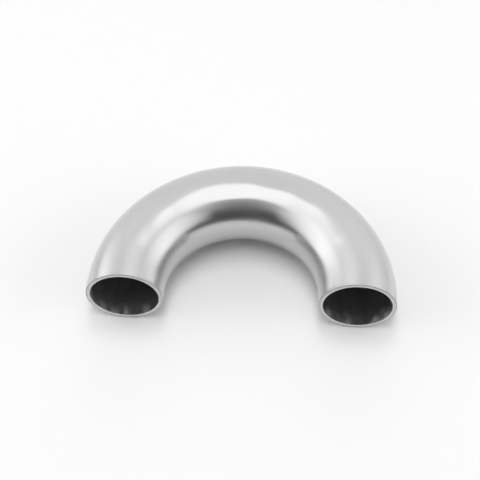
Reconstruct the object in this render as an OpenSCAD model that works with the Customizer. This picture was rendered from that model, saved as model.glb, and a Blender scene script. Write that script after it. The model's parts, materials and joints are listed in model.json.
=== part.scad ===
// Return bend: a butt-weld tube fitting that turns a pipe run straight back on itself.
// It is one piece of round tube, bent through half a turn, with a short straight end on each leg.
// It lies flat: the bend is level, both open ends face -Y and the crown of the bend faces +Y.

/* [Tube] */
// Outside diameter of the tube
tube_od = 38; // [16:0.5:80]
// Wall thickness of the tube
wall = 2; // [1:0.1:4]

/* [Bend] */
// Bend radius, from the centre of the bend to the tube's centreline
bend_radius = 57; // [45:0.5:160]
// Straight length of each leg, from the end of the bend to the end face
straight_end = 4; // [2:0.5:80]

/* [End faces] */
// Edge break between the outside of the tube and the end face
outer_edge_break = 0.3; // [0.1:0.05:0.45]
// Edge break between the bore and the end face
inner_edge_break = 0.3; // [0.1:0.05:0.45]

/* [Hidden] */
$fn = 128;

outer_r = tube_od / 2;
bore_r = outer_r - wall;

// The origin lies on the floor, below the middle of the footprint.
crown_reach = bend_radius + outer_r;
bend_centre_y = (straight_end - crown_reach) / 2;

// Cross-section of the tube, square to its centreline
module tube_section() {
    difference() {
        circle(outer_r);
        circle(bore_r);
    }
}

// The half turn of tube, about a bend centre at the origin
module half_turn() {
    rotate_extrude(angle = 180)
        translate([bend_radius, 0]) tube_section();
}

// One leg's straight end: its wall runs from the bend to a square face with both edges broken
module end_of_leg() {
    rotate([90, 0, 0])
        rotate_extrude()
            polygon([
                [bore_r, 0],
                [outer_r, 0],
                [outer_r, straight_end - outer_edge_break],
                [outer_r - outer_edge_break, straight_end],
                [bore_r + inner_edge_break, straight_end],
                [bore_r, straight_end - inner_edge_break]
            ]);
}

module return_bend() {
    color("silver")
        translate([0, bend_centre_y, outer_r])
            union() {
                half_turn();
                for (side = [-1, 1])
                    translate([side * bend_radius, 0, 0]) end_of_leg();
            }
}

return_bend();
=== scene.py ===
import json
import math

import bmesh
import bpy
from mathutils import Matrix, Quaternion, Vector, noise


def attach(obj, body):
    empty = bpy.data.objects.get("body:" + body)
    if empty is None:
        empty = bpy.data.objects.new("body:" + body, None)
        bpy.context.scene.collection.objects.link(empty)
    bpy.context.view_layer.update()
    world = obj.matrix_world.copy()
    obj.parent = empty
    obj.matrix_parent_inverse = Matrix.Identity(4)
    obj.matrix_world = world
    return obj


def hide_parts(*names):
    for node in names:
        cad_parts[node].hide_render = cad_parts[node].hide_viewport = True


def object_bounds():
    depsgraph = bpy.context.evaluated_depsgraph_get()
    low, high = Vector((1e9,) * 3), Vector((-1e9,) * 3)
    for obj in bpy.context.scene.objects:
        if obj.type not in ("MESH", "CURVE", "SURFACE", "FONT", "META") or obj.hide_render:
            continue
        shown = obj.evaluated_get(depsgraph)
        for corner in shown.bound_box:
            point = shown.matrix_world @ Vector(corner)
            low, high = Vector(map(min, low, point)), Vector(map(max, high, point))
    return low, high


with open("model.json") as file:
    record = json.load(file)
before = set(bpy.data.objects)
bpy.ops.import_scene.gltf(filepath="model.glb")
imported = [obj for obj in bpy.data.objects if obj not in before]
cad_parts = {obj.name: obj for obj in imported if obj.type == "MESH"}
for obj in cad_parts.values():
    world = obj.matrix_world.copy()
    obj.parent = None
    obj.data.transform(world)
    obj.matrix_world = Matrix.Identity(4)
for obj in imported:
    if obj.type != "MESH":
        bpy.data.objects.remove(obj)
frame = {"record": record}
cadLow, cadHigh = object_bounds()

# the tube's own sizes, from the frame, in metres
mounts = {mount["name"]: mount for mount in frame["record"]["mounts"]}
tubeRadius = (cadHigh.z - cadLow.z) / 2
boreRadius = mounts["right_bore"]["dims"]["r_mm"] / 1000
bendRadius = mounts["right_bore"]["pos_m"][0]
bendCentre = Vector((0, cadHigh.y - tubeRadius - bendRadius, cadLow.z + tubeRadius))
legLength = bendCentre.y - cadLow.y
quarterArc = bendRadius * math.pi / 2
tubeEnd = quarterArc + legLength  # along the tube from the middle of the bend
floorHeight = cadLow.z
print(f"tube {tubeRadius * 2000:.1f} mm with a {boreRadius * 2000:.1f} mm bore,",
      f"bent to a radius of {bendRadius * 1000:.1f} mm")


# camera, as the photo was taken; angles in degrees, lens and sensor in millimetres
cameraSettings = {
    "target": (-0.00363, 0.01087, 0),  # where the middle of the picture meets the floor
    "azimuth": 4.764,
    "elevation": 54.052,
    "roll": -1.517,
    "distance": 0.63516,
    "lens": 90.74,
    "sensor": 36,
    "nearest": 0.01,
}


def makeCamera(settings):
    azimuth = math.radians(settings["azimuth"])
    elevation = math.radians(settings["elevation"])
    level = math.cos(elevation)
    back = Vector((math.sin(azimuth) * level, -math.cos(azimuth) * level, math.sin(elevation)))
    data = bpy.data.cameras.new("camera")
    data.lens = settings["lens"]
    data.sensor_width = settings["sensor"]
    data.clip_start = settings["nearest"]
    camera = bpy.data.objects.new("camera", data)
    camera.location = Vector(settings["target"]) + back * settings["distance"]
    camera.rotation_mode = "QUATERNION"
    turn = Quaternion((0, 0, 1), math.radians(settings["roll"]))
    camera.rotation_quaternion = (-back).to_track_quat("-Z", "Y") @ turn
    bpy.context.scene.collection.objects.link(camera)
    bpy.context.scene.camera = camera


makeCamera(cameraSettings)
print("camera placed")


def meshObject(name, bm, materials):
    mesh = bpy.data.meshes.new(name)
    bm.to_mesh(mesh)
    bm.free()
    for material in materials:
        mesh.materials.append(material)
    piece = bpy.data.objects.new(name, mesh)
    bpy.context.scene.collection.objects.link(piece)
    return piece


def startMaterial(name):
    material = bpy.data.materials.new(name)
    material.use_nodes = True
    tree = material.node_tree
    return material, tree, tree.nodes["Principled BSDF"]


def addNode(tree, kind, **values):
    node = tree.nodes.new(kind)
    for key, value in values.items():
        setattr(node, key, value)
    return node


# sets a number on a socket, or links another node's output to it
def feed(tree, value, socket):
    if isinstance(value, bpy.types.NodeSocket):
        tree.links.new(value, socket)
    else:
        socket.default_value = value


def mathNode(tree, operation, *values):
    node = addNode(tree, "ShaderNodeMath", operation=operation)
    for value, socket in zip(values, node.inputs):
        feed(tree, value, socket)
    return node.outputs["Value"]


def splitAxes(tree, vector):
    split = addNode(tree, "ShaderNodeSeparateXYZ")
    tree.links.new(vector, split.inputs["Vector"])
    return split.outputs


noiseLow, noiseHigh = 0.3, 0.7  # nearly all of a noise lies between these


# runs from low to high while the source runs from start to end
def mapTo(tree, source, low, high, start=noiseLow, end=noiseHigh):
    node = addNode(tree, "ShaderNodeMapRange")
    node.inputs["From Min"].default_value = start
    node.inputs["From Max"].default_value = end
    node.inputs["To Min"].default_value = low
    node.inputs["To Max"].default_value = high
    tree.links.new(source, node.inputs["Value"])
    return node.outputs["Result"]


# 0 where the source is at start, rising smoothly to 1 at end
def smoothStep(tree, source, start, end):
    node = addNode(tree, "ShaderNodeMapRange", interpolation_type="SMOOTHSTEP")
    feed(tree, start, node.inputs["From Min"])
    feed(tree, end, node.inputs["From Max"])
    tree.links.new(source, node.inputs["Value"])
    return node.outputs["Result"]


def greyFrom(tree, source, low, high):
    ramp = addNode(tree, "ShaderNodeValToRGB")
    stops = ramp.color_ramp.elements
    for stop, position, grey in zip(stops, (noiseLow, noiseHigh), (low, high)):
        stop.position = position
        stop.color = (grey, grey, grey, 1)
    tree.links.new(source, ramp.inputs["Fac"])
    return ramp.outputs["Color"]


# place on the tube as if it were pulled straight: across, up, along
def tubePlace(tree):
    return addNode(tree, "ShaderNodeAttribute", attribute_name="straightened").outputs["Vector"]


# noise on the straightened tube, stretched lengthwise
def tubeNoise(tree, across, along, detail):
    scale = addNode(tree, "ShaderNodeMapping", vector_type="POINT")
    scale.inputs["Scale"].default_value = (1 / across, 1 / across, 1 / along)
    grain = addNode(tree, "ShaderNodeTexNoise", noise_dimensions="3D")
    grain.inputs["Scale"].default_value = 1
    grain.inputs["Detail"].default_value = detail
    tree.links.new(tubePlace(tree), scale.inputs["Vector"])
    tree.links.new(scale.outputs["Vector"], grain.inputs["Vector"])
    return grain.outputs["Fac"]


# 0 along the bend, rising to 1 at the two ends
def towardsEnds(tree, reach):
    fromMiddle = mathNode(tree, "ABSOLUTE", splitAxes(tree, tubePlace(tree))["Z"])
    return smoothStep(tree, fromMiddle, tubeEnd - reach, tubeEnd)


# 0 on the outer side of the bend, rising to 1 on the inner side; start and end in tube radii
def towardsInside(tree, start, end):
    across = splitAxes(tree, tubePlace(tree))["X"]
    return smoothStep(tree, across, start * tubeRadius, end * tubeRadius)


# 1 on the inner part of the two ends only
def innerEnds(tree, reach, side):
    return mathNode(tree, "MULTIPLY", towardsEnds(tree, reach), towardsInside(tree, *side))


# bare metal, with a height for its finest lines
def finishMetal(tree, shader, colour, roughness, height, depth):
    bump = addNode(tree, "ShaderNodeBump")
    bump.inputs["Strength"].default_value = 1
    bump.inputs["Distance"].default_value = depth
    tree.links.new(height, bump.inputs["Height"])
    shader.inputs["Metallic"].default_value = 1
    tree.links.new(colour, shader.inputs["Base Color"])
    tree.links.new(roughness, shader.inputs["Roughness"])
    tree.links.new(bump.outputs["Normal"], shader.inputs["Normal"])


# outside of the tube: belt polished along its length
# a reach is from an end face; a side says where an effect starts and is full, in tube radii outwards
polishSettings = {
    "colour": (0.565, 0.59),
    "roughness": (0.085, 0.135),
    "brushed": 0.97,  # how much wider a glint spreads round the tube than along it
    "cloudAcross": 0.009,  # size of the duller and brighter patches
    "cloudAlong": 0.03,
    "lineAcross": 0.00035,  # fine polishing lines
    "lineAlong": 0.012,
    "lineDepth": 0.0000012,
    "passCount": 10,  # passes of the belt round an end, each leaving a paler streak that partly stands in as a painted reflection
    "passStart": math.radians(66),  # one of the streaks, round from the outer side
    "passReach": 0.03,
    "passInnerReach": 0.06,  # longer on the inner half
    "passInnerSide": (0.2, -0.1),
    "passDrift": 0.35,
    # strength of the streaks round the ends, partly belt marks and partly painted reflection
    "streakAndSheenContrast": 0.11,
    "dullReach": 0.08,  # the ends are brushed duller on top and between the legs
    "dullSide": (0.6, 0.1),
    "dullness": 0.13,
    "dullPaintedLight": 0.08,  # how much paler the steel is painted where it is duller: painted light lifting its reflections
    "paintedLightReach": 0.014,  # and painted palest beside the end faces, on the inner side: painted light over a dark mirrored line
    "paintedLightSide": (-0.4, -0.75),
    "paintedLightLift": 0.2,
    "insideSide": (-0.6, -0.95),  # the inner side of the bend is harder to reach with the belt
    "insideDullness": 0.045,
}


# paler and darker streaks round the ends, partly the belt's marks and partly a painted reflection: -1
# to 1
def passStreaks(tree, settings):
    place = splitAxes(tree, tubePlace(tree))
    around = mathNode(tree, "ARCTAN2", place["Y"], place["X"])
    drift = tubeNoise(tree, settings["cloudAcross"], settings["cloudAlong"], detail=1)
    shift = mapTo(tree, drift, -settings["passDrift"], settings["passDrift"])
    turns = mathNode(tree, "MULTIPLY_ADD", around, settings["passCount"], shift)
    fromStart = mathNode(tree, "SUBTRACT", turns, settings["passCount"] * settings["passStart"])
    innerReach = innerEnds(tree, settings["passInnerReach"], settings["passInnerSide"])
    reach = mathNode(tree, "MAXIMUM", towardsEnds(tree, settings["passReach"]), innerReach)
    return mathNode(tree, "MULTIPLY", mathNode(tree, "COSINE", fromStart), reach)


def makePolish(settings):
    material, tree, shader = startMaterial("polishedSteel")
    clouds = tubeNoise(tree, settings["cloudAcross"], settings["cloudAlong"], detail=3)
    lines = tubeNoise(tree, settings["lineAcross"], settings["lineAlong"], detail=2)
    dulled = innerEnds(tree, settings["dullReach"], settings["dullSide"])
    rubbed = innerEnds(tree, settings["paintedLightReach"], settings["paintedLightSide"])
    # painted light: paler where the ends are duller and beside the end faces on the inner side, lifting
    # darker reflections there; and paler and darker streaks round the ends, partly belt marks and
    # partly painted reflection
    shade = mathNode(tree, "MULTIPLY_ADD", dulled, settings["dullPaintedLight"], 1)
    shade = mathNode(tree, "MULTIPLY_ADD", rubbed, settings["paintedLightLift"], shade)
    shade = mathNode(tree, "MULTIPLY_ADD", passStreaks(tree, settings), settings["streakAndSheenContrast"], shade)
    steel = addNode(tree, "ShaderNodeVectorMath", operation="SCALE")
    tree.links.new(greyFrom(tree, clouds, *settings["colour"]), steel.inputs["Vector"])
    tree.links.new(shade, steel.inputs["Scale"])
    inside = towardsInside(tree, *settings["insideSide"])
    dullEnds = mathNode(tree, "MULTIPLY", dulled, settings["dullness"])
    dullInside = mathNode(tree, "MULTIPLY", inside, settings["insideDullness"])
    duller = mathNode(tree, "MAXIMUM", dullEnds, dullInside)
    roughness = mathNode(tree, "ADD", duller, mapTo(tree, clouds, *settings["roughness"]))
    around = addNode(tree, "ShaderNodeAttribute", attribute_name="around")
    tree.links.new(around.outputs["Vector"], shader.inputs["Tangent"])
    shader.inputs["Anisotropic"].default_value = settings["brushed"]
    finishMetal(tree, shader, steel.outputs["Vector"], roughness, lines, settings["lineDepth"])
    return material


# inside of the tube: drawn and pickled, not polished, and scuffed at the mouths
boreSettings = {
    "colour": (0.5, 0.59),
    "roughness": (0.35, 0.41),
    "streakAcross": 0.0045,
    "streakAlong": 0.05,
    "lineAcross": 0.0007,  # drawing lines
    "lineAlong": 0.03,
    "lineDepth": 0.000004,
    "mouthReach": 0.0075,
    "mouthScuff": 0.5,
    "scuffAcross": 0.0052,
    "scuffAlong": 0.012,
    "scuffShare": (0.45, 0.69),  # noise above these leaves a little and a full scuff
}


def makeBore(settings):
    material, tree, shader = startMaterial("drawnBore")
    streaks = tubeNoise(tree, settings["streakAcross"], settings["streakAlong"], detail=2)
    lines = tubeNoise(tree, settings["lineAcross"], settings["lineAlong"], detail=2)
    patches = tubeNoise(tree, settings["scuffAcross"], settings["scuffAlong"], detail=1)
    scuffs = mapTo(tree, patches, 0, settings["mouthScuff"], *settings["scuffShare"])
    mouth = mathNode(tree, "MULTIPLY", towardsEnds(tree, settings["mouthReach"]), scuffs)
    roughness = mathNode(tree, "ADD", mapTo(tree, streaks, *settings["roughness"]), mouth)
    steel = greyFrom(tree, streaks, *settings["colour"])
    finishMetal(tree, shader, steel, roughness, lines, settings["lineDepth"])
    return material


# end faces: sawn and faced, with fine rings round the bore and a deburred inner edge with a painted
# highlight
faceSettings = {
    "colour": (0.53, 0.59),
    # painted highlight: the near-white colour of the deburred inner edge
    "innerEdgeHighlight": 0.95,
    "innerEdge": 0.0003,
    "outerEdge": 0.0003,
    "edgeDullness": 0.45,  # the broken edges are rougher than the face
    "roughness": (0.36, 0.44),
    "patch": 0.004,
    "ringStep": 0.00025,
    "ringDepth": 0.000002,
}


def makeFace(settings):
    material, tree, shader = startMaterial("facedEnd")
    patches = tubeNoise(tree, settings["patch"], settings["patch"], detail=3)
    flatten = addNode(tree, "ShaderNodeVectorMath", operation="MULTIPLY")
    flatten.inputs[1].default_value = (1, 1, 0)
    tree.links.new(tubePlace(tree), flatten.inputs[0])
    length = addNode(tree, "ShaderNodeVectorMath", operation="LENGTH")
    tree.links.new(flatten.outputs["Vector"], length.inputs[0])
    fromAxis = length.outputs["Value"]
    ringTurns = mathNode(tree, "MULTIPLY", fromAxis, 2 * math.pi / settings["ringStep"])
    rings = mathNode(tree, "SINE", ringTurns)
    inner, outer = settings["innerEdge"], settings["outerEdge"]
    innerEdge = smoothStep(tree, fromAxis, boreRadius + 2 * inner, boreRadius + inner)
    outerEdge = smoothStep(tree, fromAxis, tubeRadius - 2 * outer, tubeRadius - outer)
    steel = addNode(tree, "ShaderNodeMix", data_type="RGBA")
    tree.links.new(innerEdge, steel.inputs["Factor"])
    tree.links.new(greyFrom(tree, patches, *settings["colour"]), steel.inputs["A"])
    # painted highlight: the inner edge is painted near white, to shine as a bright line
    steel.inputs["B"].default_value = (settings["innerEdgeHighlight"],) * 3 + (1,)
    edges = mathNode(tree, "MAXIMUM", innerEdge, outerEdge)
    plain = mapTo(tree, patches, *settings["roughness"])
    roughness = mathNode(tree, "MULTIPLY_ADD", edges, settings["edgeDullness"], plain)
    finishMetal(tree, shader, steel.outputs["Result"], roughness, rings, settings["ringDepth"])
    return material


# the bend itself
bendSettings = {
    "roundSegments": 128,
    "bendSteps": 180,
    "legSteps": 4,
    "edgeBreak": 0.0003,
    "edgeSegments": 3,
    "weld": 0.000002,
    "waveDepth": 0.0006,  # unevenness from bending and polishing, on the inner half of the top
    "waveAcross": 0.009,
    "waveAlong": 0.015,
    "waveOuterSide": (0.5, 0.1),  # where it starts and is full, in tube radii outwards
    "waveInnerSide": (-0.6, -0.25),
    "waveHeight": (0, 0.5),  # and upwards
    "flatDepth": 0.00024,  # flat left by the belt along the inner side of each leg
    "flatAngle": math.radians(134),
    "flatHalfWidth": math.radians(16),
    "flatStart": 0.025,  # from the middle of the bend
    "flatFull": 0.05,
    "endReach": 0.025,  # the flat is deeper towards the end
    "endDepth": 0.00014,
    "roundEnd": 0.0015,  # the end faces stay round
}
outsideIndex, boreIndex, faceIndex = 0, 1, 2


# where a point would be if the bend were pulled straight: across, up, along
def straighten(point):
    offset = point - bendCentre
    if offset.y < 0:  # on a straight end
        side = math.copysign(1, offset.x)
        return Vector((abs(offset.x) - bendRadius, offset.z, side * (quarterArc - offset.y)))
    fromCentre = math.hypot(offset.x, offset.y)
    return Vector((fromCentre - bendRadius, offset.z, math.atan2(offset.x, offset.y) * bendRadius))


# level direction from the middle of the tube outwards
def levelOut(point):
    offset = point - bendCentre
    if offset.y < 0:  # on a straight end
        return Vector((math.copysign(1, offset.x), 0, 0))
    return Vector((offset.x, offset.y, 0)).normalized()


def pick(items, kind):
    return [item for item in items if isinstance(item, kind)]


# extrudes open edges on the spot; returns the new open edges and their verts
def growEdges(bm, edges):
    grown = bmesh.ops.extrude_edge_only(bm, edges=edges)["geom"]
    newEdges = [edge for edge in pick(grown, bmesh.types.BMEdge) if edge.is_boundary]
    return newEdges, pick(grown, bmesh.types.BMVert)


def paintNewFaces(bm, oldFaces, materialIndex):
    for face in bm.faces:
        if face not in oldFaces:
            face.material_index = materialIndex


# one wall of the tube, from end to end; returns the edges of its two open ends
def sweepWall(bm, settings, radius, materialIndex):
    oldFaces = set(bm.faces)
    ring = bmesh.ops.create_circle(bm, segments=settings["roundSegments"], radius=radius)["verts"]
    onLeftLeg = Matrix.Translation(bendCentre - Vector((bendRadius, 0, 0)))
    bmesh.ops.transform(bm, matrix=onLeftLeg @ Matrix.Rotation(math.pi / 2, 4, "X"), verts=ring)
    ringEdges = list({edge for vert in ring for edge in vert.link_edges})
    turned = bmesh.ops.spin(
        bm, geom=ring + ringEdges, cent=bendCentre, axis=(0, 0, -1),
        angle=math.pi, steps=settings["bendSteps"],
    )
    openEdges = ringEdges + pick(turned["geom_last"], bmesh.types.BMEdge)
    legStep = Vector((0, -legLength / settings["legSteps"], 0))
    for step in range(settings["legSteps"]):
        openEdges, newVerts = growEdges(bm, openEdges)
        bmesh.ops.translate(bm, vec=legStep, verts=newVerts)
    paintNewFaces(bm, oldFaces, materialIndex)
    return openEdges


# 0 at start, rising smoothly to 1 at end
def ease(value, start, end):
    share = min(1, max(0, (value - start) / (end - start)))
    return share * share * (3 - 2 * share)


# shallow waves and the belt's flats, cut inwards only
def roughPolish(verts, settings):
    for vert in verts:
        place = straighten(vert.co)
        across, height, along = place.x / tubeRadius, place.y / tubeRadius, abs(place.z)
        fromEnd = tubeEnd - along
        sample = Vector((place.x / settings["waveAcross"], place.y / settings["waveAcross"],
                         place.z / settings["waveAlong"]))
        innerTop = ease(across, *settings["waveOuterSide"]) * ease(across, *settings["waveInnerSide"])
        innerTop *= ease(height, *settings["waveHeight"])
        cut = settings["waveDepth"] * innerTop * (0.5 + 0.5 * noise.noise(sample))
        fromFlat = (math.atan2(height, across) - settings["flatAngle"]) / settings["flatHalfWidth"]
        if abs(fromFlat) < 1:
            depth = settings["flatDepth"] * ease(along, settings["flatStart"], settings["flatFull"])
            depth += settings["endDepth"] * ease(fromEnd, settings["endReach"], 0)
            cut += depth * (1 - fromFlat ** 2) ** 2
        cut *= ease(fromEnd, 0, settings["roundEnd"])
        vert.co -= cut * (levelOut(vert.co) * across + Vector((0, 0, height))).normalized()


def makeBend(settings, materials):
    bm = bmesh.new()
    endEdges = sweepWall(bm, settings, tubeRadius, outsideIndex)
    roughPolish(bm.verts, settings)
    # each end face runs in from the outside to the bore
    oldFaces = set(bm.faces)
    rimVerts = growEdges(bm, endEdges)[1]
    narrow = boreRadius / tubeRadius
    for side in (-1, 1):
        axis = Vector((side * bendRadius, cadLow.y, bendCentre.z))
        legVerts = [vert for vert in rimVerts if vert.co.x * side > 0]
        bmesh.ops.scale(bm, vec=(narrow, 1, narrow), space=Matrix.Translation(-axis), verts=legVerts)
    paintNewFaces(bm, oldFaces, faceIndex)
    sweepWall(bm, settings, boreRadius, boreIndex)
    bmesh.ops.remove_doubles(bm, verts=bm.verts, dist=settings["weld"])
    bmesh.ops.recalc_face_normals(bm, faces=bm.faces)
    # the edges of the end faces, where two finishes meet
    sharpEdges = [edge for edge in bm.edges
                  if len({face.material_index for face in edge.link_faces}) > 1]
    broken = bmesh.ops.bevel(
        bm, geom=sharpEdges, offset=settings["edgeBreak"], offset_type="OFFSET", affect="EDGES",
        segments=settings["edgeSegments"], profile=0.5, material=-1,
    )
    for face in broken["faces"]:
        face.material_index = faceIndex
    openCount = sum(not edge.is_manifold for edge in bm.edges)
    volume = bm.calc_volume() * 1e9
    print(f"bend: {len(bm.faces)} faces, {openCount} open edges, volume {volume:.0f} mm3")
    straightened = bm.verts.layers.float_vector.new("straightened")
    around = bm.verts.layers.float_vector.new("around")
    for vert in bm.verts:
        place = straighten(vert.co)
        vert[straightened] = place
        vert[around] = (Vector((0, 0, place.x)) - levelOut(vert.co) * place.y).normalized()
    for face in bm.faces:
        face.smooth = True
    bend = meshObject("polished_bend", bm, materials)
    crisp = bend.modifiers.new("evenShading", "WEIGHTED_NORMAL")
    crisp.mode = "FACE_AREA"
    return bend


finishes = [makePolish(polishSettings), makeBore(boreSettings), makeFace(faceSettings)]
bend = makeBend(bendSettings, finishes)
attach(bend, "root")
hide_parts("return_bend")
print("bend modelled")


# 1 for what is seen, straight or mirrored or through glass, and 0 for light that falls on things
def seenRays(tree):
    rays = addNode(tree, "ShaderNodeLightPath").outputs
    straight = mathNode(tree, "MAXIMUM", rays["Is Camera Ray"], rays["Is Glossy Ray"])
    return mathNode(tree, "MAXIMUM", straight, rays["Is Transmission Ray"])


# shows one shader over another, by the given share
def layOver(tree, share, under, over):
    blend = addNode(tree, "ShaderNodeMixShader")
    tree.links.new(share, blend.inputs["Fac"])
    tree.links.new(under, blend.inputs[1])
    tree.links.new(over, blend.inputs[2])
    tree.links.new(blend.outputs["Shader"], tree.nodes["Material Output"].inputs["Surface"])


# pale floor, which runs out into the white surroundings
floorSettings = {
    "size": 3.0,
    "colour": (0.85, 0.85, 0.85, 1),
    "roughness": 0.8,
    "fadeStart": 0.35,
    "fadeEnd": 1.2,
    "farGlow": 0.95,
}


def makeFloor(settings):
    material, tree, shader = startMaterial("paleFloor")
    shader.inputs["Base Color"].default_value = settings["colour"]
    shader.inputs["Roughness"].default_value = settings["roughness"]
    shader.inputs["Specular IOR Level"].default_value = 0
    place = addNode(tree, "ShaderNodeTexCoord")
    distance = addNode(tree, "ShaderNodeVectorMath", operation="LENGTH")
    tree.links.new(place.outputs["Object"], distance.inputs[0])
    fade = smoothStep(tree, distance.outputs["Value"], settings["fadeStart"], settings["fadeEnd"])
    glow = addNode(tree, "ShaderNodeEmission")
    glow.inputs["Strength"].default_value = settings["farGlow"]
    share = mathNode(tree, "MULTIPLY", fade, seenRays(tree))
    layOver(tree, share, shader.outputs["BSDF"], glow.outputs["Emission"])
    bm = bmesh.new()
    bmesh.ops.create_grid(bm, x_segments=1, y_segments=1, size=settings["size"])
    bmesh.ops.translate(bm, vec=(0, 0, floorHeight), verts=bm.verts)
    meshObject("floor", bm, [material])


makeFloor(floorSettings)


# graduated cards, curved round the camera's side: only mirrored, they give the steel its dark lines
# a glow lists shares of the height, with the brightness there
cardSettings = {
    "front_card": {
        "radius": 2.05,
        "height": 5.6,
        "halfSpread": 100,  # degrees either side of the camera
        "glow": [(0, 0.12), (0.16, 0.1), (0.26, 0.22), (0.4, 0.32), (0.63, 0.48), (1, 0.6)],
        "fullWidth": (0.55, 0),  # share of the spread that is fully covered, low down and higher up
        "fullHeight": (0.05, 0.33),  # shares of the height between which that narrows
        "topFade": 0.05,
    },
    "low_card": {
        "radius": 0.36,
        "height": 0.18,
        "halfSpread": 95,
        "glow": [(0, 0.1), (1, 0.1)],
        "fullWidth": (0.53, 0.53),
        "fullHeight": (0, 1),
        "topFade": 0.6,
    },
}
cardSteps = 40


def makeCard(name, settings):
    material, tree, shader = startMaterial(name)
    tree.nodes.remove(shader)
    place = splitAxes(tree, addNode(tree, "ShaderNodeTexCoord").outputs["UV"])
    ramp = addNode(tree, "ShaderNodeValToRGB")
    stops = ramp.color_ramp.elements
    while len(stops) < len(settings["glow"]):
        stops.new(0.5)
    for stop, (share, glow) in zip(stops, settings["glow"]):
        stop.position = share
        stop.color = (glow, glow, glow, 1)
    tree.links.new(place["Y"], ramp.inputs["Fac"])
    fullWidth = mapTo(tree, place["Y"], *settings["fullWidth"], *settings["fullHeight"])
    sides = smoothStep(tree, mathNode(tree, "ABSOLUTE", place["X"]), 1, fullWidth)
    top = smoothStep(tree, place["Y"], 1, 1 - settings["topFade"])
    glow = addNode(tree, "ShaderNodeEmission")
    tree.links.new(ramp.outputs["Color"], glow.inputs["Color"])
    clear = addNode(tree, "ShaderNodeBsdfTransparent")
    cover = mathNode(tree, "MULTIPLY", sides, top)
    layOver(tree, cover, clear.outputs["BSDF"], glow.outputs["Emission"])
    # a post at the left end, swept round to the right
    spread = math.radians(settings["halfSpread"])
    leftEnd = Matrix.Rotation(-spread, 3, "Z") @ Vector((0, -settings["radius"], floorHeight))
    bm = bmesh.new()
    foot = bm.verts.new(leftEnd)
    head = bm.verts.new(leftEnd + Vector((0, 0, settings["height"])))
    post = bm.edges.new((foot, head))
    bmesh.ops.spin(
        bm, geom=[foot, head, post], cent=(0, 0, 0), axis=(0, 0, 1),
        angle=2 * spread, steps=cardSteps,
    )
    unwrap = bm.loops.layers.uv.new("UVMap")
    for face in bm.faces:
        for loop in face.loops:
            turn = math.atan2(loop.vert.co.x, -loop.vert.co.y)
            loop[unwrap].uv = (turn / spread, (loop.vert.co.z - floorHeight) / settings["height"])
    card = meshObject(name, bm, [material])
    card.visible_camera = False
    card.visible_diffuse = False
    card.visible_shadow = False


for name, settings in cardSettings.items():
    makeCard(name, settings)


# soft boxes, each a glow above the white surroundings; a roll is in degrees
# size includes the soft edges, and soft gives the shares of the width and height that they take
lampSettings = {
    "overhead": {"place": (-0.02, 0.0675, 1.0), "aim": (0, 0, -1), "size": (1.66, 0.805), "glow": 0.64,
                 "soft": (0.46, 0.46, 0.034, 0.125), "mirrored": True},
    "left": {"place": (-1.0, -0.18, 1.285), "aim": (1, 0, 0), "size": (2.96, 2.57), "glow": 0.73,
             "soft": (0.468, 0.468, 0.075, 0.778), "mirrored": True},
    "right": {"place": (1.0, -0.4, 0.675), "aim": (-1, 0, 0), "size": (2.82, 1.55), "glow": 0.62,
              "soft": (0.433, 0.433, 0.185, 0.545), "mirrored": True, "roll": -20},
    "floorLight": {"place": (0, 0, 2.4), "aim": (0, 0, -1), "size": (0.75, 2.25), "glow": 5.8,
                   "soft": (0.2, 0.2, 0.07, 0.07), "mirrored": False},
    "leftFill": {"place": (-1.2, 0, 0.6), "aim": (1, 0, 0), "size": (1.5, 1.0), "glow": 1.28,
                 "soft": (0.2, 0.2, 0.2, 0.2), "mirrored": False},
    "rightFill": {"place": (1.2, 0, 0.6), "aim": (-1, 0, 0), "size": (1.5, 1.0), "glow": 1.4,
                  "soft": (0.2, 0.2, 0.2, 0.2), "mirrored": False},
    "backFill": {"place": (0, 1.2, 0.6), "aim": (0, -1, 0), "size": (1.5, 1.0), "glow": 0.75,
                 "soft": (0.2, 0.2, 0.2, 0.2), "mirrored": False},
}


# 1 in the middle, falling to 0 over the given shares at each end
def softWindow(tree, source, startShare, endShare):
    rise = smoothStep(tree, source, 0, startShare)
    fall = smoothStep(tree, source, 1, 1 - endShare)
    return mathNode(tree, "MULTIPLY", rise, fall)


def makeLamps(settings):
    for name, lamp in settings.items():
        data = bpy.data.lights.new(name, "AREA")
        data.shape = "RECTANGLE"
        data.size, data.size_y = lamp["size"]
        data.energy = lamp["glow"] * math.pi * data.size * data.size_y
        data.use_nodes = True
        tree = data.node_tree
        place = splitAxes(tree, addNode(tree, "ShaderNodeNewGeometry").outputs["Parametric"])
        acrossMask = softWindow(tree, place["X"], *lamp["soft"][:2])
        upMask = softWindow(tree, place["Y"], *lamp["soft"][2:])
        mask = mathNode(tree, "MULTIPLY", acrossMask, upMask)
        tree.links.new(mask, tree.nodes["Emission"].inputs["Strength"])
        light = bpy.data.objects.new(name, data)
        light.location = lamp["place"]
        light.rotation_mode = "QUATERNION"
        turn = Quaternion((0, 0, 1), math.radians(lamp.get("roll", 0)))
        light.rotation_quaternion = Vector(lamp["aim"]).to_track_quat("-Z", "Y") @ turn
        light.visible_camera = False
        light.visible_glossy = lamp["mirrored"]
        bpy.context.scene.collection.objects.link(light)


makeLamps(lampSettings)

# white surroundings: full strength where they are seen or mirrored, dimmer as a light on the floor
worldSettings = {"seen": 1.0, "light": 0.37}


def makeWorld(settings):
    world = bpy.data.worlds.new("whiteRoom")
    world.use_nodes = True
    tree = world.node_tree
    background = tree.nodes["Background"]
    background.inputs["Color"].default_value = (1, 1, 1, 1)
    strength = mapTo(tree, seenRays(tree), settings["light"], settings["seen"], 0, 1)
    tree.links.new(strength, background.inputs["Strength"])
    return world


bpy.context.scene.world = makeWorld(worldSettings)
bpy.context.scene.view_settings.view_transform = "Standard"
print("floor, cards, lamps and world set")
